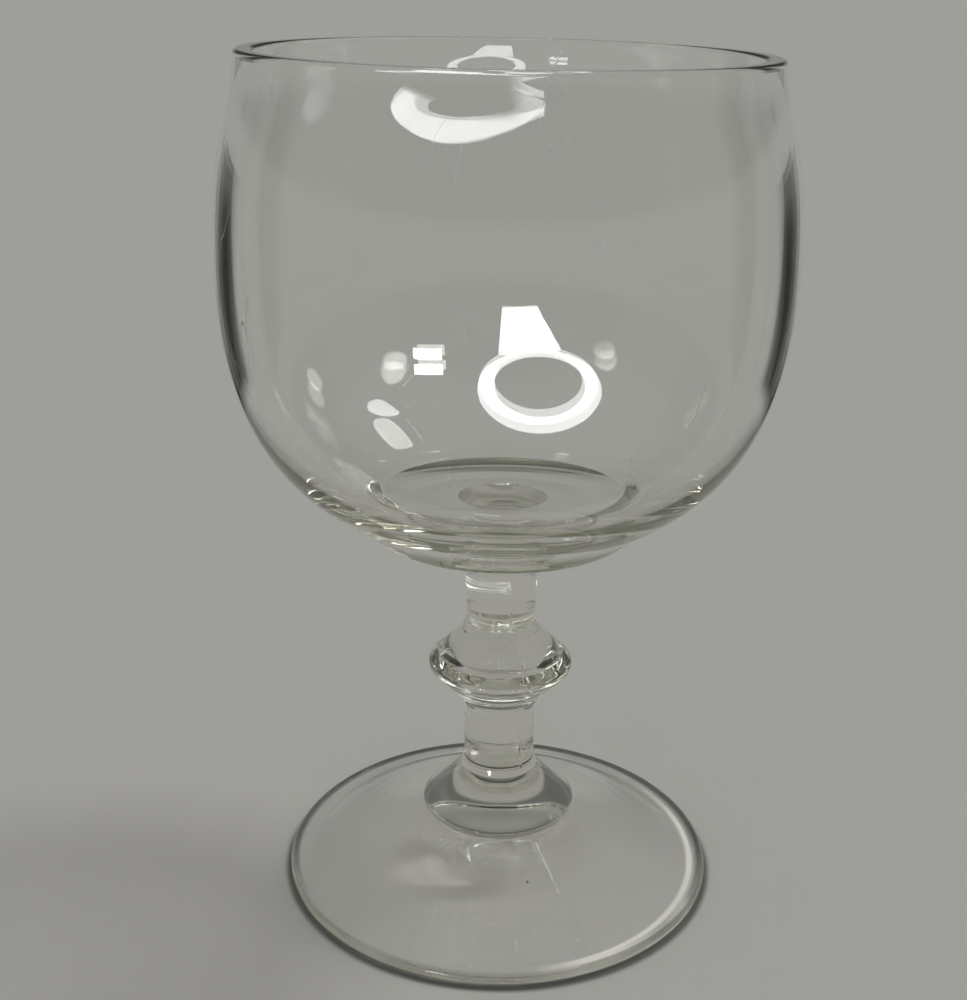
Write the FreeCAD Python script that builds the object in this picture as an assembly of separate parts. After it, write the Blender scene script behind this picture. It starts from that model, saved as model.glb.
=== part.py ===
"""Antique clear glass goblet: a deep round bowl on a flat pad, a ringed stem,
a rounded knop at its foot, and a wide conical foot with a hollow underside.

Millimetres, +Z up. The origin is the middle of the circle that the foot rests on.
Every piece is turned: an outline in the XZ plane goes once round the Z axis.
"""
import FreeCAD, Part
import math
import os

os.makedirs("parts", exist_ok=True)

# Foot
foot_radius = 45.0
foot_height = 13.0
foot_edge_thickness = 3.0
foot_hollow_radius = 40.3
foot_hollow_height = 7.0

# Knop at the foot of the stem
foot_knop_seat_radius = 14.25
foot_knop_radius = 16.1
foot_knop_height = 10.8
foot_knop_widest_height = 2.35
foot_knop_lip_radius = 9.1
foot_knop_lip_drop = 1.4

# Stem, from its foot up
stem_foot_radius = 8.0
stem_foot_flare_height = 3.2
lower_shank_radius = 7.4
lower_shank_height = 9.0
knop_under_height = 5.7
lower_ring_foot_radius = 9.55
lower_ring_height = 3.3
lower_crease_radius = 12.55
knop_low_height = 2.6
knop_radius = 14.9
knop_high_height = 2.15
upper_crease_radius = 12.95
shoulder_height = 1.15
shoulder_radius = 12.1
neck_height = 8.45
upper_shank_radius = 7.15
upper_shank_height = 1.1
stem_head_height = 17.75
stem_head_radius = 9.5

# Pad under the bowl
pad_height = 2.45
pad_radius = 26.7
pad_top_radius = 29.1
pad_edge_round = 0.85

# Bowl
bowl_height = 89.35
bowl_radius = 54.6
bowl_widest_height = 50.6
bowl_floor_thickness = 2.0
bowl_wall = 3.3
rim_radius = 49.5
lip_thickness = 3.6
lip_round = 0.9

# Directions in degrees, 0 outwards and 90 up: where each curve leaves and arrives
out, up, inwards, down = 0, 90, 180, 270
foot_hollow_slope = -15
foot_edge_slope = 172
foot_top_slope = 155
foot_knop_seat_slope = 40
foot_knop_lip_slope = 130
stem_foot_slope = 102
lower_ring_slopes = (50, 35, 65)
knop_slopes = (35, 145)
shoulder_slopes = (112, 140, 135)
stem_head_slope = 76
pad_flank_slope = 42
bowl_foot_slope = 40
rim_slope = 93.5
inner_rim_slope = 274

# How far a curve's two handles reach, as shares of the distance it spans
quarter_round_shares = (0.3905, 0.3905)
easy_shares = (0.36, 0.36)
foot_knop_shares = (0.10, 0.30)
bowl_low_shares = (0.149, 0.685)
bowl_high_shares = (0.64, 0.32)
cavity_high_shares = (0.32, 0.64)
cavity_low_shares = (0.62, 0.37)

# Heights of the seats between the pieces
stem_length = (
    stem_foot_flare_height + lower_shank_height + knop_under_height
    + lower_ring_height + knop_low_height + knop_high_height
    + shoulder_height + neck_height + upper_shank_height + stem_head_height
)
foot_knop_z = foot_height
stem_z = foot_knop_z + foot_knop_height
pad_z = stem_z + stem_length
bowl_z = pad_z + pad_height
goblet_height = bowl_z + bowl_height


def line(end):
    """A straight step of an outline, to the point end."""
    return end, None


def curve(end, leave, arrive, shares=easy_shares):
    """A curved step to the point end, leaving and arriving in these directions."""
    return end, (leave, arrive, shares)


def place(radius, height):
    """An outline's point in space."""
    return FreeCAD.Vector(radius, 0, height)


def aimed(direction, reach):
    """A step of this reach in a direction given in degrees."""
    angle = math.radians(direction)
    return FreeCAD.Vector(reach * math.cos(angle), 0, reach * math.sin(angle))


def turned(start, steps):
    """The solid that an outline of steps makes when it goes round the Z axis."""
    edges = []
    first = place(*start)
    for end, bend in steps:
        last = place(*end)
        if bend is None:
            edges.append(Part.makeLine(first, last))
        else:
            leave, arrive, (near, far) = bend
            span = first.distanceToPoint(last)
            poles = [
                first,
                first + aimed(leave, near * span),
                last - aimed(arrive, far * span),
                last,
            ]
            bezier = Part.BezierCurve()
            bezier.setPoles(poles)
            edges.append(bezier.toShape())
        first = last
    face = Part.Face(Part.Wire(edges))
    solid = face.revolve(place(0, 0), FreeCAD.Vector(0, 0, 1), 360)
    if solid.Volume < 0:
        solid.reverse()
    return solid


def make_foot():
    """The wide foot: a low cone, hollow underneath, resting on a ring at its edge."""
    edge_round = foot_edge_thickness / 2
    edge_radius = foot_radius - edge_round
    return turned((0, foot_hollow_height), [
        curve((foot_hollow_radius, 0), out, foot_hollow_slope),
        line((edge_radius, 0)),
        curve((foot_radius, edge_round), out, up, quarter_round_shares),
        curve((edge_radius, foot_edge_thickness), up, inwards, quarter_round_shares),
        curve((foot_knop_seat_radius, foot_height), foot_edge_slope, foot_top_slope),
        line((0, foot_height)),
        line((0, foot_hollow_height)),
    ])


def make_foot_knop():
    """The rounded knop that carries the stem, with a small lip round its top."""
    widest_z = foot_knop_z + foot_knop_widest_height
    lip_z = stem_z - foot_knop_lip_drop
    return turned((0, foot_knop_z), [
        line((foot_knop_seat_radius, foot_knop_z)),
        curve((foot_knop_radius, widest_z), foot_knop_seat_slope, up),
        curve((foot_knop_lip_radius, lip_z), up, foot_knop_lip_slope, foot_knop_shares),
        line((stem_foot_radius, stem_z)),
        line((0, stem_z)),
        line((0, foot_knop_z)),
    ])


def make_stem():
    """Lower shank, ringed knop, shoulder and neck, and the upper shank with its head."""
    shank_z = stem_z + stem_foot_flare_height
    under_z = shank_z + lower_shank_height
    ring_z = under_z + knop_under_height
    crease_z = ring_z + lower_ring_height
    widest_z = crease_z + knop_low_height
    upper_crease_z = widest_z + knop_high_height
    shoulder_z = upper_crease_z + shoulder_height
    neck_z = shoulder_z + neck_height
    head_z = neck_z + upper_shank_height
    under_slope, ring_leave, ring_arrive = lower_ring_slopes
    knop_leave, knop_arrive = knop_slopes
    shoulder_leave, shoulder_arrive, neck_leave = shoulder_slopes
    return turned((0, stem_z), [
        line((stem_foot_radius, stem_z)),
        curve((lower_shank_radius, shank_z), stem_foot_slope, up),
        line((lower_shank_radius, under_z)),
        curve((lower_ring_foot_radius, ring_z), up, under_slope),
        curve((lower_crease_radius, crease_z), ring_leave, ring_arrive),
        curve((knop_radius, widest_z), knop_leave, up),
        curve((upper_crease_radius, upper_crease_z), up, knop_arrive),
        curve((shoulder_radius, shoulder_z), shoulder_leave, shoulder_arrive),
        curve((upper_shank_radius, neck_z), neck_leave, up),
        line((upper_shank_radius, head_z)),
        curve((stem_head_radius, pad_z), up, stem_head_slope),
        line((0, pad_z)),
        line((0, stem_z)),
    ])


def make_bowl_pad():
    """The flat pad of glass under the bowl; its flank carries on the bowl's line."""
    flank_z = pad_z + pad_edge_round
    flank_share = pad_edge_round / pad_height
    flank_radius = pad_radius + flank_share * (pad_top_radius - pad_radius)
    return turned((0, pad_z), [
        line((pad_radius - pad_edge_round, pad_z)),
        curve((flank_radius, flank_z), out, pad_flank_slope),
        line((pad_top_radius, bowl_z)),
        line((0, bowl_z)),
        line((0, pad_z)),
    ])


def make_bowl():
    """The round bowl: a thin floor on the pad, an even wall and a flat lip with rounded edges."""
    widest_z = bowl_z + bowl_widest_height
    lip_z = goblet_height - lip_round
    inner_rim_radius = rim_radius - lip_thickness
    inner_radius = bowl_radius - bowl_wall
    floor_z = bowl_z + bowl_floor_thickness
    return turned((0, bowl_z), [
        line((pad_top_radius, bowl_z)),
        curve((bowl_radius, widest_z), bowl_foot_slope, up, bowl_low_shares),
        curve((rim_radius, lip_z), up, rim_slope, bowl_high_shares),
        curve((rim_radius - lip_round, goblet_height), rim_slope, inwards, quarter_round_shares),
        line((inner_rim_radius + lip_round, goblet_height)),
        curve((inner_rim_radius, lip_z), inwards, down, quarter_round_shares),
        curve((inner_radius, widest_z), inner_rim_slope, down, cavity_high_shares),
        curve((0, floor_z), down, inwards, cavity_low_shares),
        line((0, bowl_z)),
    ])


pieces = {
    "foot": make_foot(),
    "foot_knop": make_foot_knop(),
    "stem": make_stem(),
    "bowl_pad": make_bowl_pad(),
    "bowl": make_bowl(),
}
for name, solid in pieces.items():
    solid.exportStep(f"parts/{name}.step")
    print(name, solid.ShapeType, solid.isValid(), round(solid.Volume))
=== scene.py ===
"""Dresses the antique glass goblet on its packed frame, and sets the stage, the lamps and the camera.

Metres, +Z up. Every glass piece is an outline turned once round the Z axis.
"""
import math

import bmesh
import bpy
from bpy.props import FloatProperty, FloatVectorProperty, PointerProperty
from mathutils import Matrix, Vector


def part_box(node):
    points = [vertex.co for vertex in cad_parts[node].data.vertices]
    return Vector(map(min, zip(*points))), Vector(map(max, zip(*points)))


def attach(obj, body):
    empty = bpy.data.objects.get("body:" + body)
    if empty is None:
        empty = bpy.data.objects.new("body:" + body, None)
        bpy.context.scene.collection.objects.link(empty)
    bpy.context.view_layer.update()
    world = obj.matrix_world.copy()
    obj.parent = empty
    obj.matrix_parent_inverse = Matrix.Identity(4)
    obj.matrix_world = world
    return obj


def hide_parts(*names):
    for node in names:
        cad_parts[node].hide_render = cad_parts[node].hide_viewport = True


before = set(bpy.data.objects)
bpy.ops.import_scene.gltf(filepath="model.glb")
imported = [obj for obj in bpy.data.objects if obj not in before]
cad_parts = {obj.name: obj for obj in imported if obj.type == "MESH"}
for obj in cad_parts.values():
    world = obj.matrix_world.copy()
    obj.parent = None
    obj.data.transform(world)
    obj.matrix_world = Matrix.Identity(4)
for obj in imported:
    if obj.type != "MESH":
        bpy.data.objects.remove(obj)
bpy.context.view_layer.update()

bl_info = {
    "name": "Antique glass goblet",
    "version": (1, 0, 0),
    "blender": (4, 5, 0),
    "location": "3D View > Sidebar > Goblet",
    "description": "Models and dresses a turned glass goblet on its frame",
    "category": "Object",
}

MM = 0.001
FULL_TURN = 2.0 * math.pi
BODY = "root"

# Directions along an outline in degrees, 0 outwards and 90 up
OUT, UP, INWARDS, DOWN = 0, 90, 180, 270
FOOT_HOLLOW_SLOPE, FOOT_EDGE_SLOPE, FOOT_TOP_SLOPE = -15, 172, 155
FOOT_KNOP_SEAT_SLOPE, FOOT_KNOP_LIP_SLOPE = 40, 130
STEM_FOOT_SLOPE, STEM_HEAD_SLOPE = 102, 76
UNDER_SLOPE, LOWER_RING_LEAVE, LOWER_RING_ARRIVE = 50, 35, 65
KNOP_LEAVE, KNOP_ARRIVE = 35, 145
SHOULDER_LEAVE, SHOULDER_ARRIVE, NECK_LEAVE = 112, 140, 135
PAD_FLANK_SLOPE, BOWL_FOOT_SLOPE = 42, 40
RIM_SLOPE, INNER_RIM_SLOPE = 93.5, 274

# How far a curve's two handles reach, as shares of the distance that it spans
EASY_SHARES = (0.36, 0.36)
QUARTER_ROUND_SHARES = (0.3905, 0.3905)
THIRD_SHARES = (1 / 3, 1 / 3)
FOOT_KNOP_SHARES = (0.10, 0.30)
BOWL_LOW_SHARES, BOWL_HIGH_SHARES = (0.149, 0.685), (0.64, 0.32)
CAVITY_HIGH_SHARES, CAVITY_LOW_SHARES = (0.32, 0.64), (0.62, 0.37)

# How finely a piece is turned: lengths in each curve of its outline, and faces round it
FOOT_FINENESS = (60, 256)
FOOT_KNOP_FINENESS = (48, 256)
STEM_FINENESS = (26, 320)
PAD_FINENESS = (24, 256)
BOWL_FINENESS = (36, 256)
POLE_REACH = 0.0001 * MM
SHARP_ANGLE = math.radians(32.0)

# The fine grooves round the neck: their heights as shares of the neck's, their depths, and how they waver
NECK_GROOVE_SHARES = (0.52, 0.74, 0.88, 1.0)
NECK_GROOVE_DEPTH_SHARES = (0.6, 1.0, 0.8, 1.0)
GROOVE_WOBBLE_SHARE, GROOVE_PHASE = 0.02, 40.0
# How steeply the mould seam rises from nothing at both ends of the stem
SEAM_STEEPNESS = 20.0

# A face within this many joint gaps of a joint's level belongs to the joint
JOINT_REACH = 1.5

# Finish of the glass: scales are per metre, heights are in millimetres
CLEAR = (1.0, 1.0, 1.0, 1.0)
WAVE_SCALE, WAVE_HEIGHT = 55.0, 0.012
SEED_SCALE, SEED_SPREAD_SCALE, SEED_SPREAD, SEED_RARITY = 42.0, 23.0, 0.06, 0.024
SEED_HEIGHT, SEED_SHADE = 0.05, 0.75
SCRATCH_SCALE, SCRATCH_RUN_SCALE, SCRATCH_WIDTH, SCRATCH_ROUGHNESS = 90.0, 9.0, 0.0016, 0.35
SCRATCH_PATCH_SCALE, SCRATCH_PATCHES = 30.0, (0.60, 0.66)
TURNING_SCALE, TURNING_LEVEL_SCALE, TURNING_HEIGHT = 20.0, 160.0, 0.004
RIPPLE_SCALE, RIPPLE_LEVEL_SCALE, RIPPLE_HEIGHT = 45.0, 520.0, 0.035
TOOL_MARK_SCALE, TOOL_MARK_HEIGHT, FOOT_PATCH_SCALE = 700.0, 0.003, 26.0
WORN_RADII = (0.031, 0.041)
TICKS_PER_RADIAN, TICK_SCALE, TICK_LEVELS, TICK_PATCHES = 110.0, 160.0, (0.60, 0.66), (0.46, 0.56)
TICK_HEIGHT, TICK_ROUGHNESS = 0.002, 0.22

# Bounces are whole numbers. These tell whether a ray has had at least one, two or three of them
ONCE, TWICE, THRICE = 0.5, 1.5, 2.5
GLASS_BOUNCES = 32

# The floor, and the painted shadow, painted light and painted bright arc that stand in for what the foot's
# thick edge does to the light on it: radii and turns in degrees, where each starts, is full, fades and ends
CIRCLE_SIDES = 96
FLOOR_RADIUS, FLOOR_GAP, FLOOR_ROUGHNESS = 8.0, 0.0001, 0.9
# Painted contact shadow: a dark ring on the floor under the foot's edge, and painted light on the floor
# within it
PAINTED_SHADOW_RADII, PAINTED_SHADOW_LEVEL, PAINTED_LIGHT_LEVEL = (0.0426, 0.0440, 0.0452, 0.0467), 0.32, 1.20
# Painted highlight: a bright arc on the floor just inside the foot's edge, which shows through the foot
PAINTED_ARC_RADII, PAINTED_ARC_TURNS, PAINTED_ARC_LEVEL = (0.0405, 0.0412, 0.0417, 0.0424), (-84.0, -62.0, 12.0, 45.0), 2.2

# Dark mats to both sides: radii where they darken, turn pale and end, and their turns from straight behind
MAT_COLOUR, FAR_MAT_COLOUR = (0.02, 0.02, 0.017), (0.11, 0.11, 0.105)
MAT_RADII, MAT_TURNS = (0.26, 0.32, 0.6, 2.5, 7.5), (28.0, 33.0, 48.0, 56.0)

# The room: how far a direction rises, or points to the front, where one colour turns to the next
FRONT = (0.0, -1.0, 0.0)
HORIZON_RISE, OVERHEAD_RISE, FRONT_SHARES = (0.07, 0.16), (0.42, 0.60), (0.35, 0.65)
# Far windows that show only through the glass: their directions, and half their width in degrees
FAR_WINDOWS = (((0.75, -0.3, 0.6), 6.0), ((-0.7, -0.45, 0.5), 5.0), ((0.8, 0.5, 0.3), 4.0))
FAR_WINDOW_SOFTNESS = 1.3

# The lamps
SUN_FROM = (0.75, 0.35, 1.0)
LOW_RAYS = (0.90, 0.82)
PANE_WIDTH, PANE_HEIGHT, PANE_BAR = 0.060, 0.014, 0.006
WINDOW_PLACE, WINDOW_TARGET = (-0.149, -0.298, 0.02), (-0.012, -0.053, 0.126)
RING_PLACE, RING_RADIUS, RING_STRETCH, RING_BAND = (0.068, -0.314, 0.001), 0.118, 1.12, 0.030
STALK_WIDTH, STALK_LENGTH = 0.17, 0.34
CRESCENT_MIDDLE, CRESCENT_REACH, CRESCENT_END_WIDTH = (-0.008, 0.046), 0.205, 0.014
CRESCENT_BULGES, CRESCENT_TURNS, CRESCENT_POWER, CRESCENT_STEPS = (0.036, 0.125), (-68.0, 15.0), 1.5, 36
BRIDGE_TURNS, BRIDGE_HEIGHTS = (-62.0, -50.0, -3.0, 9.0), (0.1535, 0.1560)

# The camera: its place, its angles in degrees, and its lens
CAMERA_PLACE = (0.0, -0.2756, 0.1852)
CAMERA_TILT, CAMERA_YAW, CAMERA_ROLL = 69.67, 0.801, 0.596
SENSOR_WIDTH, PICTURE_WIDTH, FOCAL_PIXELS, CLIP_START = 36.0, 967, 1463.7, 0.01

# Levels and radii that the frame gives
_, foot_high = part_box("foot")
foot_knop_low, foot_knop_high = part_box("foot_knop")
stem_low, stem_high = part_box("stem")
pad_low, pad_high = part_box("bowl_pad")
bowl_low, bowl_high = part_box("bowl")


def length(name, millimetres, description):
    """A size in the panel, given here in millimetres."""
    return FloatProperty(name=name, description=description, default=millimetres * MM,
                         unit="LENGTH", subtype="DISTANCE", precision=5)


def angle(name, degrees, description):
    """An angle in the panel, given here in degrees."""
    return FloatProperty(name=name, description=description, default=math.radians(degrees), subtype="ANGLE")


def share(name, default, description):
    """A share in the panel, from 0 up."""
    return FloatProperty(name=name, description=description, default=default, min=0.0, subtype="FACTOR")


def amount(name, default, description):
    """A plain number in the panel, from 0 up."""
    return FloatProperty(name=name, description=description, default=default, min=0.0)


def colour(name, default, description):
    """A linear colour in the panel."""
    return FloatVectorProperty(name=name, description=description, default=default,
                               size=3, min=0.0, max=1.0, subtype="COLOR")


class FootSizes(bpy.types.PropertyGroup):
    """The wide conical foot."""
    edge_thickness: length("Edge thickness", 3.0, "Height of the rounded outer edge")
    hollow_radius: length("Hollow radius", 40.3, "Inner radius of the ring that the foot rests on")
    hollow_height: length("Hollow height", 7.0, "Height of the hollow underside at the middle")
    seat_radius: length("Seat radius", 14.25, "Radius of the seat of the knop")
    ring_spacing: length("Tool ring spacing", 2.9, "Distance between the faint rings that tooling left")
    ring_depth: length("Tool ring depth", 0.02, "Depth of the faint rings that tooling left")


class FootKnopSizes(bpy.types.PropertyGroup):
    """The rounded knop that joins the stem to the foot."""
    radius: length("Radius", 16.1, "Widest radius")
    widest_height: length("Widest height", 2.35, "Height of the widest place over the seat")
    lip_radius: length("Lip radius", 9.1, "Radius of the lip round the stem")
    lip_drop: length("Lip drop", 1.4, "How far the lip lies under the foot of the stem")


class StemSizes(bpy.types.PropertyGroup):
    """The solid stem with its ringed knop."""
    foot_radius: length("Foot radius", 8.0, "Radius where the stem stands on the knop")
    foot_flare_height: length("Foot flare height", 3.2, "Height of the flare at the stem's foot")
    lower_shank_radius: length("Lower shank radius", 7.4, "Radius of the shank under the ringed knop")
    lower_shank_height: length("Lower shank height", 9.0, "Height of the straight lower shank")
    knop_under_height: length("Under side height", 5.7, "Height of the knop's hollow under side")
    lower_ring_foot_radius: length("Lower ring foot", 9.55, "Radius at the foot of the lower ring")
    lower_ring_height: length("Lower ring height", 3.3, "Height of the lower ring")
    lower_crease_radius: length("Lower crease", 12.55, "Radius of the crease over the lower ring")
    knop_low_height: length("Knop lower half", 2.6, "Height of the main ring under its widest place")
    knop_radius: length("Knop radius", 14.9, "Radius of the main ring")
    knop_high_height: length("Knop upper half", 2.15, "Height of the main ring over its widest place")
    upper_crease_radius: length("Upper crease", 12.95, "Radius of the crease over the main ring")
    shoulder_height: length("Shoulder height", 1.15, "Height of the rounded shoulder's edge")
    shoulder_radius: length("Shoulder radius", 12.1, "Radius at the top of the shoulder's edge")
    neck_height: length("Neck height", 8.45, "Height of the sloping neck")
    upper_shank_radius: length("Upper shank radius", 7.15, "Radius of the shank over the ringed knop")
    upper_shank_height: length("Upper shank height", 1.1, "Height of the straight upper shank")
    head_radius: length("Head radius", 9.5, "Radius where the stem meets the pad")
    seam_width: length("Seam width", 0.32, "Half the width of the mould seam")
    seam_height: length("Seam height", 0.24, "How far the mould seam stands proud")
    groove_width: length("Groove width", 0.42, "Half the width of the fine grooves round the neck")
    groove_depth: length("Groove depth", 0.16, "Depth of the fine grooves round the neck")
    seam_start: angle("Seam start", 40.0, "How far right of the front the seam lies at the stem's foot")
    seam_end: angle("Seam end", 4.0, "How far right of the front the seam lies at the stem's head")


class PadSizes(bpy.types.PropertyGroup):
    """The flat pad under the bowl."""
    radius: length("Radius", 26.7, "Radius of the under side")
    edge_round: length("Edge round", 0.85, "Rounding of the lower edge")


class BowlSizes(bpy.types.PropertyGroup):
    """The deep round bowl."""
    widest_height: length("Widest height", 50.6, "Height of the widest place over the pad")
    floor_thickness: length("Floor thickness", 2.0, "Thickness of the glass at the middle of the floor")
    wall: length("Wall", 3.3, "Thickness of the wall at the widest place")
    rim_radius: length("Rim radius", 49.5, "Outer radius of the rim")
    lip_thickness: length("Lip thickness", 3.6, "Thickness of the flat lip")
    lip_round: length("Lip round", 0.9, "Rounding of the lip's two edges")
    rim_fall: length("Rim fall", 1.0, "How much lower the rim is on the right than on the left")


class GlassLook(bpy.types.PropertyGroup):
    """The clear glass of all the pieces."""
    tint: colour("Tint", (0.50, 0.51, 0.28), "Colour that a thick stretch of glass leaves")
    tint_density: amount("Tint density", 9.0, "How fast the glass takes its tint, per metre")
    refraction: amount("Refractive index", 1.51, "Refractive index of the glass")
    polish: share("Polish roughness", 0.0, "Roughness of the fire-polished surface")
    joint_gap: length("Joint gap", 0.02, "Hairline between two joined faces, so that they never coincide")


class StageLook(bpy.types.PropertyGroup):
    """The floor, the room and the lamps."""
    floor_colour: colour("Floor colour", (0.36, 0.355, 0.335), "Colour of the plain pale floor")
    horizon_colour: colour("Horizon colour", (0.34, 0.335, 0.32), "Colour of the room level with the goblet")
    band_colour: colour("Band colour", (0.12, 0.12, 0.114), "Colour of the room over the horizon")
    ceiling_colour: colour("Ceiling colour", (0.30, 0.30, 0.29), "Colour of the room overhead")
    front_colour: colour("Front colour", (0.02, 0.02, 0.018), "Colour of the dim room in front")
    even_light: colour("Even light", (0.72, 0.72, 0.715), "Light that the floor gets from all sides")
    glint_strength: amount("Glint strength", 30.0, "How much brighter than the room the far windows are")
    sun_strength: amount("Sun strength", 1.0, "Strength of the soft side light")
    sun_softness: angle("Sun softness", 14.0, "Angle that the soft side light covers")
    pane_strength: amount("Pane strength", 24.0, "Brightness of the window's panes")
    ring_strength: amount("Ring strength", 13.0, "Brightness of the ring lamp in front")
    crescent_strength: amount("Crescent strength", 9.0, "Brightness of the crescent lamp in front")


GROUPS = {
    "goblet_foot": FootSizes, "goblet_foot_knop": FootKnopSizes, "goblet_stem": StemSizes,
    "goblet_pad": PadSizes, "goblet_bowl": BowlSizes, "goblet_glass": GlassLook, "goblet_stage": StageLook,
}


class Number:
    """A number that nodes work out. The usual signs add Math nodes."""

    def __init__(self, maker, socket):
        self.maker = maker
        self.socket = socket

    def __add__(self, other):
        return self.maker.math("ADD", self, other)

    __radd__ = __add__

    def __sub__(self, other):
        return self.maker.math("SUBTRACT", self, other)

    def __rsub__(self, other):
        return self.maker.math("SUBTRACT", other, self)

    def __mul__(self, other):
        return self.maker.math("MULTIPLY", self, other)

    __rmul__ = __mul__

    def __truediv__(self, other):
        return self.maker.math("DIVIDE", self, other)

    def __lt__(self, other):
        return self.maker.math("LESS_THAN", self, other)

    def __gt__(self, other):
        return self.maker.math("GREATER_THAN", self, other)

    def __abs__(self):
        return self.maker.math("ABSOLUTE", self)

    def __pow__(self, other):
        return self.maker.math("POWER", self, other)


class Maker:
    """Makes the nodes of one material or world."""

    def __init__(self, tree):
        self.tree = tree
        tree.nodes.clear()

    def node(self, kind, settings=None, sockets=None):
        """One node: its settings first, then the values or links of its sockets."""
        made = self.tree.nodes.new(kind)
        for key, value in (settings or {}).items():
            setattr(made, key, value)
        for key, value in (sockets or {}).items():
            value = getattr(value, "socket", value)
            if isinstance(value, bpy.types.NodeSocket):
                self.tree.links.new(value, made.inputs[key])
            else:
                made.inputs[key].default_value = value
        return made

    def math(self, operation, *values):
        """A Math node on numbers or links."""
        made = self.node("ShaderNodeMath", {"operation": operation}, dict(enumerate(values)))
        return Number(self, made.outputs[0])

    def between(self, value, low, high):
        """0 at low and under, 1 at high and over, smooth in between. It falls where low is the larger."""
        sockets = {"Value": value, "From Min": low, "From Max": high}
        made = self.node("ShaderNodeMapRange", {"interpolation_type": "SMOOTHSTEP"}, sockets)
        return Number(self, made.outputs[0])

    def band(self, value, first, full, fading, last):
        """1 from full to fading, and 0 before first and after last."""
        return self.between(value, first, full) * self.between(value, last, fading)

    def mix(self, factor, low, high):
        """A colour between two colours or links."""
        low, high = (item if isinstance(item, bpy.types.NodeSocket) else (*item, 1.0) for item in (low, high))
        made = self.node("ShaderNodeMix", {"data_type": "RGBA"}, {"Factor": factor, 6: low, 7: high})
        return made.outputs[2]

    def grey(self, level):
        """The grey of a level that changes over the surface."""
        sockets = {"Red": level, "Green": level, "Blue": level}
        return self.node("ShaderNodeCombineColor", sockets=sockets).outputs[0]

    def noise(self, place, scale, detail):
        """Noise from 0 to 1 at a place."""
        sockets = {"Vector": place, "Scale": scale, "Detail": detail}
        return Number(self, self.node("ShaderNodeTexNoise", sockets=sockets).outputs[0])

    def streaks(self, x, y, z, detail):
        """Noise from 0 to 1 that is drawn out, because each of the three numbers has its own scale."""
        place = self.node("ShaderNodeCombineXYZ", sockets={"X": x, "Y": y, "Z": z}).outputs[0]
        return self.noise(place, 1.0, detail)

    def ray(self):
        """What the light path knows of the ray, by name."""
        outputs = self.node("ShaderNodeLightPath").outputs
        return {name: Number(self, socket) for name, socket in outputs.items()}

    def along(self, direction, way):
        """How much a direction points along a way: the cosine between them."""
        sockets = {0: direction, 1: Vector(way).normalized()}
        made = self.node("ShaderNodeVectorMath", {"operation": "DOT_PRODUCT"}, sockets)
        return Number(self, made.outputs["Value"])

    def show_where(self, shown, shader):
        """Ends a material that is see-through apart from where shown is 1."""
        clear = self.node("ShaderNodeBsdfTransparent")
        sockets = {0: shown, 1: clear.outputs[0], 2: shader.outputs[0]}
        surface = self.node("ShaderNodeMixShader", sockets=sockets)
        self.node("ShaderNodeOutputMaterial", sockets={"Surface": surface.outputs[0]})


class Place:
    """Object coordinates of a material, straight and round the Z axis."""

    def __init__(self, maker):
        self.point = maker.node("ShaderNodeTexCoord").outputs["Object"]
        parts = maker.node("ShaderNodeSeparateXYZ", sockets={"Vector": self.point})
        self.x, self.y, self.z = (Number(maker, parts.outputs[letter]) for letter in "XYZ")
        self.radius = (self.x * self.x + self.y * self.y) ** 0.5
        self.turn = maker.math("ARCTAN2", self.y, self.x)


def new_material(name):
    """A material without nodes, and the maker of its nodes."""
    material = bpy.data.materials.new(name)
    material.use_nodes = True
    return material, Maker(material.node_tree)


def radians(degrees):
    """Several angles in radians."""
    return [math.radians(turn) for turn in degrees]


class GobletPiece:
    """What the operators of the goblet share."""
    bl_options = {"REGISTER", "UNDO"}

    def execute(self, context):
        self.build(context.scene)
        return {"FINISHED"}


def flat(radius, level):
    """A straight step of an outline, in one length."""
    return (radius, level), None, None, THIRD_SHARES


def line(radius, level, slope):
    """A straight step of an outline, in many short lengths."""
    return (radius, level), slope, slope, THIRD_SHARES


def curve(radius, level, leave, arrive, shares=EASY_SHARES):
    """A curved step of an outline, from the direction that it leaves in to the one that it arrives in."""
    return (radius, level), leave, arrive, shares


def towards(degrees):
    """A direction in the plane of the outlines."""
    return Vector((math.cos(math.radians(degrees)), 0.0, math.sin(math.radians(degrees))))


def outline(start, steps, divisions):
    """The mesh of an outline: a Bezier spline through the steps."""
    data = bpy.data.curves.new("outline", "CURVE")
    data.dimensions = "3D"
    data.resolution_u = divisions
    points = data.splines.new("BEZIER").bezier_points
    points.add(len(steps))
    points[0].co = points[0].handle_left = Vector((start[0], 0.0, start[1]))
    for here, there, (end, leave, arrive, shares) in zip(points, points[1:], steps):
        there.co = Vector((end[0], 0.0, end[1]))
        span = (there.co - here.co).length
        kind = "VECTOR" if leave is None else "FREE"
        here.handle_right_type = there.handle_left_type = kind
        if leave is not None:
            here.handle_right = here.co + shares[0] * span * towards(leave)
            there.handle_left = there.co - shares[1] * span * towards(arrive)
    points[-1].handle_right = points[-1].co
    carrier = bpy.data.objects.new("outline", data)
    mesh = bpy.data.meshes.new_from_object(carrier)
    bpy.data.objects.remove(carrier)
    bpy.data.curves.remove(data)
    return mesh


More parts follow.
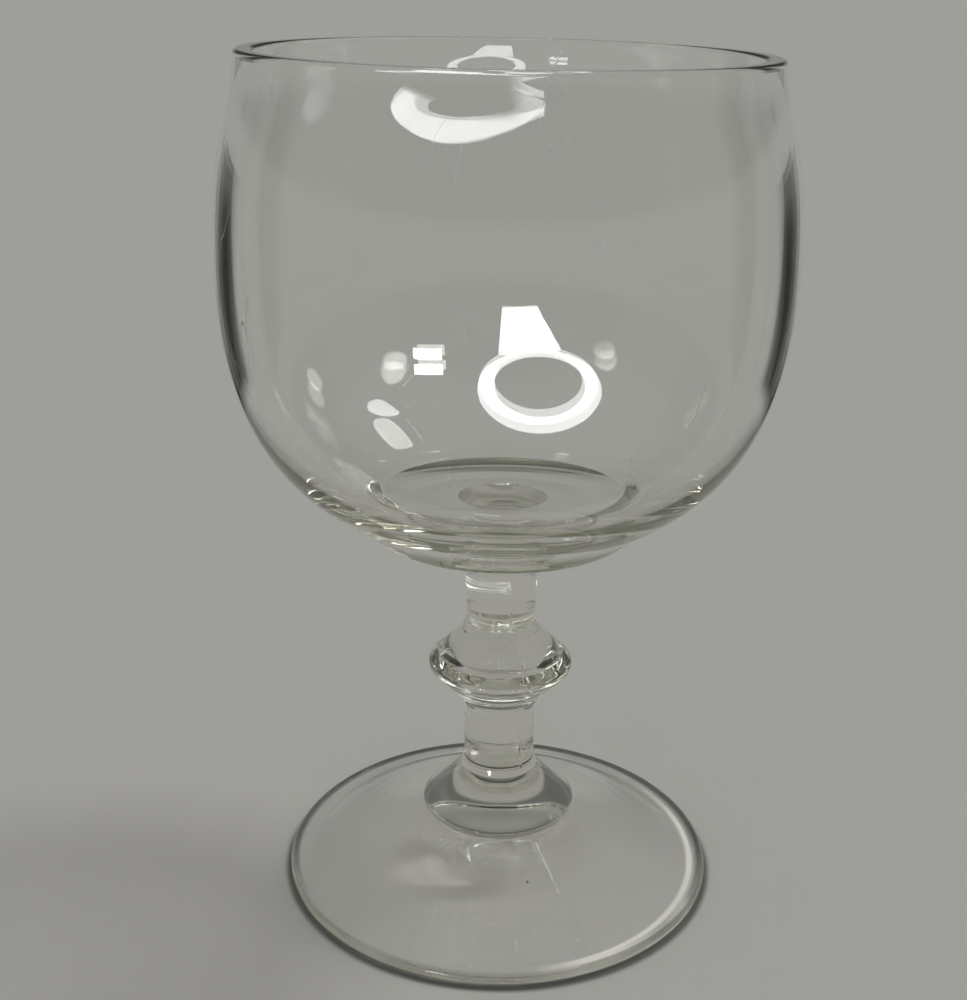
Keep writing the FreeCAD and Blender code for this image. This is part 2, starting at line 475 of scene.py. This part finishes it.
def turned(name, start, steps, fineness, shape=None):
    """A closed glass piece: the outline turned once round Z, then shaped point by point."""
    divisions, around = fineness
    flat_mesh = outline(start, steps, divisions)
    bm = bmesh.new()
    bm.from_mesh(flat_mesh)
    bpy.data.meshes.remove(flat_mesh)
    bmesh.ops.spin(bm, geom=bm.verts[:] + bm.edges[:], cent=(0.0, 0.0, 0.0), axis=(0.0, 0.0, 1.0),
                   dvec=(0.0, 0.0, 0.0), angle=FULL_TURN, steps=around, use_merge=True)
    bmesh.ops.remove_doubles(bm, verts=bm.verts, dist=POLE_REACH)
    if shape:
        for vert in bm.verts:
            vert.co = shape(vert.co)
    bmesh.ops.recalc_face_normals(bm, faces=bm.faces)
    mesh = bpy.data.meshes.new(name)
    bm.to_mesh(mesh)
    bm.free()
    mesh.shade_smooth()
    mesh.set_sharp_from_angle(angle=SHARP_ANGLE)
    piece = bpy.data.objects.new(name, mesh)
    bpy.context.scene.collection.objects.link(piece)
    return piece


def install(piece, node, material):
    """Puts a glass piece in the place of its node in the frame."""
    piece.data.materials.append(material)
    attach(piece, BODY)
    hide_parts(node)


def clear_glass(name, look, joints, finish=None):
    """Clear glass. Its faces at the joints aren't shown, so that two joined pieces look like one.

    Each joint is a level and a radius. A finish gives the height in millimetres and the roughness that it
    adds, and the colour.
    """
    material, maker = new_material(name)
    place = Place(maker)
    shown = 1.0
    for level, radius in joints:
        at_level = maker.math("COMPARE", place.z, level, JOINT_REACH * look.joint_gap)
        shown = shown - at_level * (place.radius < radius)
    height = maker.noise(place.point, WAVE_SCALE, 1.0) * WAVE_HEIGHT
    rough, tone = look.polish, CLEAR
    if finish:
        marks, scuffs, tone = finish(maker, place)
        height = height + marks
        rough = scuffs + look.polish
    bump = maker.node("ShaderNodeBump", sockets={"Height": height, "Distance": MM, "Strength": 1.0})
    body = maker.node("ShaderNodeBsdfPrincipled", sockets={
        "Base Color": tone, "Roughness": rough, "IOR": look.refraction, "Transmission Weight": 1.0,
        "Alpha": shown, "Normal": bump.outputs[0]})
    inside = maker.node("ShaderNodeVolumeAbsorption", sockets={
        "Color": (*look.tint, 1.0), "Density": look.tint_density})
    maker.node("ShaderNodeOutputMaterial", sockets={"Surface": body.outputs[0], "Volume": inside.outputs[0]})
    return material


def seeds(maker, place):
    """Small dark seeds and specks in the glass, here and there."""
    cells = maker.node("ShaderNodeTexVoronoi", sockets={"Vector": place.point, "Scale": SEED_SCALE})
    size = maker.noise(place.point, SEED_SPREAD_SCALE, 0.0) * SEED_SPREAD
    return Number(maker, cells.outputs["Distance"]) < size - SEED_RARITY


def scratches(maker, place):
    """Fine scratches that run mostly up and down the wall, in patches."""
    x, y, z = place.x * SCRATCH_SCALE, place.y * SCRATCH_SCALE, place.z * SCRATCH_RUN_SCALE
    winding = maker.streaks(x, y, z, 0.0)
    patch = maker.between(maker.noise(place.point, SCRATCH_PATCH_SCALE, 1.0), *SCRATCH_PATCHES)
    return (abs(winding - 0.5) < SCRATCH_WIDTH) * patch


def used_bowl(maker, place):
    """The bowl: shallow turning marks, a few seeds and fine scratches."""
    seed = seeds(maker, place)
    marks = maker.streaks(place.radius * TURNING_SCALE, 0.0, place.z * TURNING_LEVEL_SCALE, 2.0)
    height = marks * TURNING_HEIGHT + seed * SEED_HEIGHT
    return height, scratches(maker, place) * SCRATCH_ROUGHNESS, maker.grey(1.0 - seed * SEED_SHADE)


def rippled_stem(maker, place):
    """The stem and the foot knop: low uneven ripples that run round them."""
    x, y, z = place.x * RIPPLE_SCALE, place.y * RIPPLE_SCALE, place.z * RIPPLE_LEVEL_SCALE
    return maker.streaks(x, y, z, 1.0) * RIPPLE_HEIGHT, 0.0, CLEAR


def scuffed_foot(maker, place):
    """The foot: faint rings from its making, fine ticks across its worn edge, and a few seeds."""
    marks = maker.streaks(place.radius * TOOL_MARK_SCALE, 0.0, 0.0, 1.0) * TOOL_MARK_HEIGHT
    patch = maker.noise(place.point, FOOT_PATCH_SCALE, 1.0)
    across = maker.streaks(place.turn * TICKS_PER_RADIAN, place.radius * TICK_SCALE, 0.0, 1.0)
    ticks = (maker.between(across, *TICK_LEVELS) * maker.between(place.radius, *WORN_RADII)
             * maker.between(patch, *TICK_PATCHES))
    tone = maker.grey(1.0 - seeds(maker, place) * SEED_SHADE)
    return marks * patch + ticks * TICK_HEIGHT, ticks * TICK_ROUGHNESS, tone


class MakeFoot(GobletPiece, bpy.types.Operator):
    """Makes the wide conical foot with its tool rings and scuffed edge"""
    bl_idname = "goblet.make_foot"
    bl_label = "Foot"

    def build(self, scene):
        sizes, look = scene.goblet_foot, scene.goblet_glass
        radius, top, edge, seat = foot_high.x, foot_high.z, sizes.edge_thickness, sizes.seat_radius
        flank = radius - edge / 2

        def tool_rings(point):
            """Lowers the top in faint rings, which fade out towards the seat and the edge."""
            reach = math.hypot(point.x, point.y)
            on_top = point.z > edge and seat < reach < flank
            wave = math.cos(FULL_TURN * reach / sizes.ring_spacing) - 1.0
            fade = min(1.0, (reach - seat) / top, (flank - reach) / edge)
            return point + Vector((0.0, 0.0, sizes.ring_depth / 2 * wave * fade if on_top else 0.0))

        piece = turned("glass_foot", (0.0, sizes.hollow_height), [
            curve(sizes.hollow_radius, 0.0, OUT, FOOT_HOLLOW_SLOPE),
            flat(flank, 0.0),
            curve(radius, edge / 2, OUT, UP, QUARTER_ROUND_SHARES),
            curve(flank, edge, UP, INWARDS, QUARTER_ROUND_SHARES),
            curve(seat, top, FOOT_EDGE_SLOPE, FOOT_TOP_SLOPE),
            flat(0.0, top),
        ], FOOT_FINENESS, tool_rings)
        install(piece, "foot", clear_glass("foot_glass", look, [(top, seat)], scuffed_foot))


class MakeFootKnop(GobletPiece, bpy.types.Operator):
    """Makes the rounded knop between the foot and the stem"""
    bl_idname = "goblet.make_foot_knop"
    bl_label = "Foot knop"

    def build(self, scene):
        sizes, look = scene.goblet_foot_knop, scene.goblet_glass
        low, top = foot_knop_low.z, foot_knop_high.z
        seat, stem_foot = scene.goblet_foot.seat_radius, scene.goblet_stem.foot_radius
        start = low + look.joint_gap
        piece = turned("glass_foot_knop", (0.0, start), [
            flat(seat, start),
            curve(sizes.radius, low + sizes.widest_height, FOOT_KNOP_SEAT_SLOPE, UP),
            curve(sizes.lip_radius, top - sizes.lip_drop, UP, FOOT_KNOP_LIP_SLOPE, FOOT_KNOP_SHARES),
            flat(stem_foot, top),
            flat(0.0, top),
        ], FOOT_KNOP_FINENESS)
        joints = [(low, seat), (top, stem_foot)]
        install(piece, "foot_knop", clear_glass("foot_knop_glass", look, joints, rippled_stem))


class MakeStem(GobletPiece, bpy.types.Operator):
    """Makes the solid stem with its ringed knop and twisted mould seam"""
    bl_idname = "goblet.make_stem"
    bl_label = "Stem"

    def build(self, scene):
        sizes, look = scene.goblet_stem, scene.goblet_glass
        low, top = stem_low.z, stem_high.z
        start = low + look.joint_gap
        steps = [flat(sizes.foot_radius, start)]
        level = low
        for height, radius, leave, arrive in (
            (sizes.foot_flare_height, sizes.lower_shank_radius, STEM_FOOT_SLOPE, UP),
            (sizes.lower_shank_height, sizes.lower_shank_radius, UP, UP),
            (sizes.knop_under_height, sizes.lower_ring_foot_radius, UP, UNDER_SLOPE),
            (sizes.lower_ring_height, sizes.lower_crease_radius, LOWER_RING_LEAVE, LOWER_RING_ARRIVE),
            (sizes.knop_low_height, sizes.knop_radius, KNOP_LEAVE, UP),
            (sizes.knop_high_height, sizes.upper_crease_radius, UP, KNOP_ARRIVE),
            (sizes.shoulder_height, sizes.shoulder_radius, SHOULDER_LEAVE, SHOULDER_ARRIVE),
            (sizes.neck_height, sizes.upper_shank_radius, NECK_LEAVE, UP),
            (sizes.upper_shank_height, sizes.upper_shank_radius, UP, UP),
        ):
            level += height
            steps.append(curve(radius, level, leave, arrive))
        neck_foot = level - sizes.upper_shank_height - sizes.neck_height
        steps += [curve(sizes.head_radius, top, UP, STEM_HEAD_SLOPE), flat(0.0, top)]

        def seam_and_grooves(point):
            """Raises the ridge that the mould left, which winds a little, and cuts the neck's grooves."""
            reach = math.hypot(point.x, point.y)
            rise = (point.z - low) / (top - low)
            turn = sizes.seam_start + (sizes.seam_end - sizes.seam_start) * rise
            across = math.hypot(point.x - reach * math.sin(turn), point.y + reach * math.cos(turn))
            fade = min(1.0, SEAM_STEEPNESS * rise, SEAM_STEEPNESS * (1.0 - rise))
            proud = sizes.seam_height * fade * max(0.0, 1.0 - across / sizes.seam_width)
            for groove, depth in zip(NECK_GROOVE_SHARES, NECK_GROOVE_DEPTH_SHARES):
                wobble = GROOVE_WOBBLE_SHARE * math.sin(math.atan2(point.y, point.x) + GROOVE_PHASE * groove)
                away = (point.z - neck_foot - sizes.neck_height * (groove + wobble)) / sizes.groove_width
                if reach > sizes.groove_width:
                    proud -= depth * sizes.groove_depth * math.exp(-away * away)
            return point + Vector((point.x, point.y, 0.0)).normalized() * proud

        piece = turned("glass_stem", (0.0, start), steps, STEM_FINENESS, seam_and_grooves)
        joints = [(low, sizes.foot_radius), (top, sizes.head_radius)]
        install(piece, "stem", clear_glass("stem_glass", look, joints, rippled_stem))


class MakePad(GobletPiece, bpy.types.Operator):
    """Makes the flat pad under the bowl"""
    bl_idname = "goblet.make_pad"
    bl_label = "Bowl pad"

    def build(self, scene):
        sizes, look = scene.goblet_pad, scene.goblet_glass
        low, top, radius, edge = pad_low.z, pad_high.z, pad_high.x, sizes.edge_round
        start, flank_level = low + look.joint_gap, low + edge
        flank_radius = radius - (top - flank_level) / math.tan(math.radians(PAD_FLANK_SLOPE))
        piece = turned("glass_bowl_pad", (0.0, start), [
            flat(sizes.radius - edge, start),
            curve(flank_radius, flank_level, OUT, PAD_FLANK_SLOPE),
            line(radius, top, PAD_FLANK_SLOPE),
            flat(0.0, top),
        ], PAD_FINENESS)
        joints = [(low, scene.goblet_stem.head_radius), (top, radius)]
        install(piece, "bowl_pad", clear_glass("bowl_pad_glass", look, joints))


class MakeBowl(GobletPiece, bpy.types.Operator):
    """Makes the deep round bowl with its thin floor and flat lip"""
    bl_idname = "goblet.make_bowl"
    bl_label = "Bowl"

    def build(self, scene):
        sizes, look = scene.goblet_bowl, scene.goblet_glass
        low, top, radius, lip = bowl_low.z, bowl_high.z, bowl_high.x, sizes.lip_thickness
        start, foot = low + look.joint_gap, pad_high.x
        widest, lip_foot, rim = low + sizes.widest_height, top - sizes.lip_round, sizes.rim_radius

        def uneven_rim(point):
            """Lets the rim fall from left to right."""
            rise = max(0.0, (point.z - widest) / (top - widest))
            fall = sizes.rim_fall * rise * rise * (point.x + rim) / (2 * rim)
            return point - Vector((0.0, 0.0, fall))

        piece = turned("glass_bowl", (0.0, start), [
            flat(foot, start),
            curve(radius, widest, BOWL_FOOT_SLOPE, UP, BOWL_LOW_SHARES),
            curve(rim, lip_foot, UP, RIM_SLOPE, BOWL_HIGH_SHARES),
            curve(rim - sizes.lip_round, top, RIM_SLOPE, INWARDS, QUARTER_ROUND_SHARES),
            line(rim - lip + sizes.lip_round, top, INWARDS),
            curve(rim - lip, lip_foot, INWARDS, DOWN, QUARTER_ROUND_SHARES),
            curve(radius - sizes.wall, widest, INNER_RIM_SLOPE, DOWN, CAVITY_HIGH_SHARES),
            curve(0.0, low + sizes.floor_thickness, DOWN, INWARDS, CAVITY_LOW_SHARES),
        ], BOWL_FINENESS, uneven_rim)
        install(piece, "bowl", clear_glass("bowl_glass", look, [(low, foot)], used_bowl))


def stage_piece(scene, name, bm, material):
    """A thing of the stage, which isn't part of the goblet."""
    mesh = bpy.data.meshes.new(name)
    bm.to_mesh(mesh)
    bm.free()
    mesh.materials.append(material)
    piece = bpy.data.objects.new(name, mesh)
    scene.collection.objects.link(piece)
    return piece


def only_in_glass(piece):
    """Lets a thing of the stage show in the glass alone, and throw no light or shadow on the floor."""
    piece.visible_camera = piece.visible_diffuse = piece.visible_shadow = False


def disc(radius):
    """A bmesh with one round face."""
    bm = bmesh.new()
    bmesh.ops.create_circle(bm, cap_ends=True, segments=CIRCLE_SIDES, radius=radius)
    return bm


def plate(bm, width, height, middle):
    """Adds a flat plate whose middle lies that far along Y."""
    corners = bmesh.ops.create_grid(bm, x_segments=1, y_segments=1, size=1 / 2)["verts"]
    bmesh.ops.scale(bm, vec=(width, height, 1.0), verts=corners)
    bmesh.ops.translate(bm, vec=(0.0, middle, 0.0), verts=corners)


class MakeStage(GobletPiece, bpy.types.Operator):
    """Makes the floor, the room, the lamps and the camera"""
    bl_idname = "goblet.make_stage"
    bl_label = "Stage"

    def build(self, scene):
        look = scene.goblet_stage
        self.floor(scene, look)
        self.mats(scene)
        self.room(scene, look)
        self.sun(scene, look)
        self.window(scene, look)
        self.crescent(scene, look)
        self.ring(scene, look)
        self.camera(scene)
        scene.view_settings.view_transform = "Standard"
        light = scene.cycles
        light.max_bounces = light.glossy_bounces = light.transmission_bounces = GLASS_BOUNCES
        light.transparent_max_bounces = 2 * GLASS_BOUNCES
        light.blur_glossy = 0.0

    def floor(self, scene, look):
        """The pale floor, with a painted shadow ring, painted light and a painted bright arc under the foot.
        """
        material, maker = new_material("floor")
        place = Place(maker)
        inner, deep = PAINTED_SHADOW_RADII[:2]
        # Floor colours for the painted shadow, the painted light and the painted bright arc
        painted_shadow, painted_light, bright = (tuple(level * value for value in look.floor_colour)
                               for level in (PAINTED_SHADOW_LEVEL, PAINTED_LIGHT_LEVEL, PAINTED_ARC_LEVEL))
        # Painted highlight: a bright arc on the floor just inside the foot's edge
        painted_arc = maker.band(place.turn, *radians(PAINTED_ARC_TURNS)) * maker.band(place.radius, *PAINTED_ARC_RADII)
        # Painted light: the floor within the foot's edge is brighter, as if the glass gathered light onto it
        ground = maker.mix(maker.between(place.radius, deep, inner), look.floor_colour, painted_light)
        ground = maker.mix(painted_arc, ground, bright)
        # Painted contact shadow: the floor is darkened in a ring under the foot's edge
        ground = maker.mix(maker.band(place.radius, *PAINTED_SHADOW_RADII), ground, painted_shadow)
        body = maker.node("ShaderNodeBsdfPrincipled", sockets={
            "Base Color": ground, "Roughness": FLOOR_ROUGHNESS, "Specular IOR Level": 0.0})
        maker.node("ShaderNodeOutputMaterial", sockets={"Surface": body.outputs[0]})
        bm = disc(FLOOR_RADIUS)
        bmesh.ops.translate(bm, vec=(0.0, 0.0, -FLOOR_GAP), verts=bm.verts)
        stage_piece(scene, "floor", bm, material)

    def mats(self, scene):
        """Dark mats on the floor to both sides, which draw the dark edges of the glass.

        Rays that go straight through both walls of the bowl don't see them.
        """
        material, maker = new_material("mats")
        place, ray = Place(maker), maker.ray()
        aside = abs(maker.math("ARCTAN2", place.x, place.y))
        near, all_dark, paling, pale, end = MAT_RADII
        edges = maker.math("MAXIMUM", ray["Transmission Depth"] < THRICE, ray["Glossy Depth"] > ONCE)
        shown = maker.band(aside, *radians(MAT_TURNS)) * maker.between(place.radius, near, all_dark) * edges
        shade = maker.mix(maker.between(place.radius, paling, pale), MAT_COLOUR, FAR_MAT_COLOUR)
        maker.show_where(shown, maker.node("ShaderNodeEmission", sockets={"Color": shade}))
        only_in_glass(stage_piece(scene, "mats", disc(end), material))

    def room(self, scene, look):
        """The room that the glass sees, the plain backdrop of the camera, and the even light on the floor."""
        world = bpy.data.worlds.new("room")
        world.use_nodes = True
        scene.world = world
        maker = Maker(world.node_tree)
        direction = maker.node("ShaderNodeTexCoord").outputs["Generated"]
        rise = maker.node("ShaderNodeSeparateXYZ", sockets={"Vector": direction}).outputs["Z"]
        over_horizon = maker.between(rise, *HORIZON_RISE)
        ahead = maker.between(maker.along(direction, FRONT), *FRONT_SHARES)
        walls = maker.mix(over_horizon, look.horizon_colour, look.band_colour)
        walls = maker.mix(maker.between(rise, *OVERHEAD_RISE), walls, look.ceiling_colour)
        walls = maker.mix(ahead * over_horizon, walls, look.front_colour)
        ray = maker.ray()
        by_camera = ray["Is Camera Ray"]
        by_glass = maker.math("MAXIMUM", ray["Is Glossy Ray"], ray["Is Transmission Ray"])
        seen = maker.math("MAXIMUM", by_camera, by_glass) * (ray["Diffuse Depth"] < ONCE)
        backdrop = maker.mix(by_camera, walls, look.horizon_colour)
        light = maker.mix(seen, look.even_light, backdrop)
        through = seen * (ray["Transmission Depth"] > TWICE)
        brightness = 1.0
        for way, reach in FAR_WINDOWS:
            wide, narrow = (math.cos(turn) for turn in radians((FAR_WINDOW_SOFTNESS * reach, reach)))
            near = maker.between(maker.along(direction, way), wide, narrow)
            brightness = brightness + near * through * look.glint_strength
        sky = maker.node("ShaderNodeBackground", sockets={"Color": light, "Strength": brightness})
        maker.node("ShaderNodeOutputWorld", sockets={"Surface": sky.outputs[0]})

    def sun(self, scene, look):
        data = bpy.data.lights.new("sun", "SUN")
        data.energy, data.angle = look.sun_strength, look.sun_softness
        sun = bpy.data.objects.new("sun", data)
        sun.rotation_euler = Vector(SUN_FROM).to_track_quat("Z", "Y").to_euler()
        sun.visible_glossy = False
        scene.collection.objects.link(sun)

    def window(self, scene, look):
        """The two bright panes of a small window that the glass mirrors."""
        bm = bmesh.new()
        for side in (-1, 1):
            plate(bm, PANE_WIDTH, PANE_HEIGHT, side * (PANE_HEIGHT + PANE_BAR) / 2)
        turn = (Vector(WINDOW_TARGET) - Vector(WINDOW_PLACE)).to_track_quat("-Z", "Y").to_matrix()
        bmesh.ops.rotate(bm, cent=(0.0, 0.0, 0.0), matrix=turn, verts=bm.verts)
        bmesh.ops.translate(bm, vec=WINDOW_PLACE, verts=bm.verts)
        self.glowing(scene, "window", bm, look.pane_strength)

    def ring(self, scene, look):
        """A ring with a stalk that lies in front of the goblet, out of the picture."""
        bm = disc(RING_RADIUS)
        bmesh.ops.inset_region(bm, faces=bm.faces[:], thickness=RING_BAND, use_boundary=True,
                               use_even_offset=True)
        inner = max(bm.faces, key=lambda face: face.calc_area())
        bmesh.ops.delete(bm, geom=[inner], context="FACES")
        bmesh.ops.scale(bm, vec=(1.0, RING_STRETCH, 1.0), verts=bm.verts)
        plate(bm, STALK_WIDTH, STALK_LENGTH, RING_BAND / 2 - RING_RADIUS * RING_STRETCH - STALK_LENGTH / 2)
        bmesh.ops.translate(bm, vec=RING_PLACE, verts=bm.verts)
        self.glowing(scene, "ring_lamp", bm, look.ring_strength)

    def crescent(self, scene, look):
        """A bright crescent on the floor in front, which the far wall of the bowl shows as a U."""
        x, y = CRESCENT_MIDDLE
        first, last = radians(CRESCENT_TURNS)
        inner_bulge, outer_bulge = CRESCENT_BULGES
        bm = bmesh.new()
        ends = [bm.verts.new((x - reach * math.sin(first), y - reach * math.cos(first), FLOOR_GAP))
                for reach in (CRESCENT_REACH, CRESCENT_REACH + CRESCENT_END_WIDTH)]
        edge = bm.edges.new(ends)
        bmesh.ops.spin(bm, geom=[*ends, edge], cent=(x, y, 0.0), axis=(0.0, 0.0, -1.0),
                       dvec=(0.0, 0.0, 0.0), angle=last - first, steps=CRESCENT_STEPS, use_merge=False)
        for vert in bm.verts:
            away = Vector((vert.co.x - x, vert.co.y - y, 0.0))
            outer = away.length > CRESCENT_REACH + CRESCENT_END_WIDTH / 2
            along = (math.atan2(-away.x, -away.y) - first) / (last - first)
            swell = max(0.0, math.sin(math.pi * along)) ** CRESCENT_POWER
            vert.co += away.normalized() * (outer_bulge if outer else inner_bulge) * swell
        self.glowing(scene, "crescent_lamp", bm, look.crescent_strength, behind_glass=True)

    def bridge(self, maker, rise):
        """Where the top of the far wall would show the crescent's middle again, and close the U.

        The ray's rise at the floor gives the height that it comes from.
        """
        place = Place(maker)
        x, y = CRESCENT_MIDDLE
        aside, ahead = x - place.x, y - place.y
        height = (aside * aside + ahead * ahead) ** 0.5 * rise / (1.0 - rise * rise) ** 0.5
        turn = maker.math("ARCTAN2", aside, ahead)
        return maker.between(height, *BRIDGE_HEIGHTS) * maker.band(turn, *radians(BRIDGE_TURNS))

    def glowing(self, scene, name, bm, strength, behind_glass=False):
        """A bright thing that the glass mirrors: in its near wall, or in the far wall behind that."""
        material, maker = new_material(name)
        facing = Number(maker, maker.node("ShaderNodeLayerWeight").outputs["Facing"])
        ray = maker.ray()
        depth = ray["Transmission Depth"]
        shown = maker.between(facing, *LOW_RAYS) * (ray["Glossy Depth"] > ONCE)
        if behind_glass:
            shown = shown * (depth > THRICE) * (1.0 - self.bridge(maker, 1.0 - facing))
        else:
            shown = shown * (depth < THRICE)
        maker.show_where(shown, maker.node("ShaderNodeEmission", sockets={"Strength": strength}))
        only_in_glass(stage_piece(scene, name, bm, material))

    def camera(self, scene):
        data = bpy.data.cameras.new("camera")
        data.sensor_fit = "HORIZONTAL"
        data.sensor_width = SENSOR_WIDTH
        data.lens = FOCAL_PIXELS * SENSOR_WIDTH / PICTURE_WIDTH
        data.clip_start = CLIP_START
        camera = bpy.data.objects.new("camera", data)
        tilt, yaw, roll = radians((CAMERA_TILT, CAMERA_YAW, CAMERA_ROLL))
        camera.matrix_world = (Matrix.Translation(CAMERA_PLACE) @ Matrix.Rotation(yaw, 4, "Z")
                               @ Matrix.Rotation(tilt, 4, "X") @ Matrix.Rotation(roll, 4, "Z"))
        scene.collection.objects.link(camera)
        scene.camera = camera


OPERATORS = [MakeFoot, MakeFootKnop, MakeStem, MakePad, MakeBowl, MakeStage]


class GobletPanel(bpy.types.Panel):
    """Lists the goblet's sizes, colours and pieces"""
    bl_idname = "VIEW3D_PT_goblet"
    bl_label = "Goblet"
    bl_space_type = "VIEW_3D"
    bl_region_type = "UI"
    bl_category = "Goblet"

    def draw(self, context):
        for attribute, group in GROUPS.items():
            box = self.layout.box()
            box.label(text=group.__doc__)
            for key in group.__annotations__:
                box.prop(getattr(context.scene, attribute), key)
        for operator in OPERATORS:
            self.layout.operator(operator.bl_idname)


CLASSES = [*GROUPS.values(), *OPERATORS, GobletPanel]


def register():
    for item in CLASSES:
        bpy.utils.register_class(item)
    for attribute, group in GROUPS.items():
        setattr(bpy.types.Scene, attribute, PointerProperty(type=group))


def unregister():
    for attribute in GROUPS:
        delattr(bpy.types.Scene, attribute)
    for item in reversed(CLASSES):
        bpy.utils.unregister_class(item)


def main():
    """Makes every piece and the stage."""
    register()
    bpy.ops.goblet.make_foot()
    bpy.ops.goblet.make_foot_knop()
    bpy.ops.goblet.make_stem()
    bpy.ops.goblet.make_pad()
    bpy.ops.goblet.make_bowl()
    bpy.ops.goblet.make_stage()


if __name__ == "__main__":
    main()
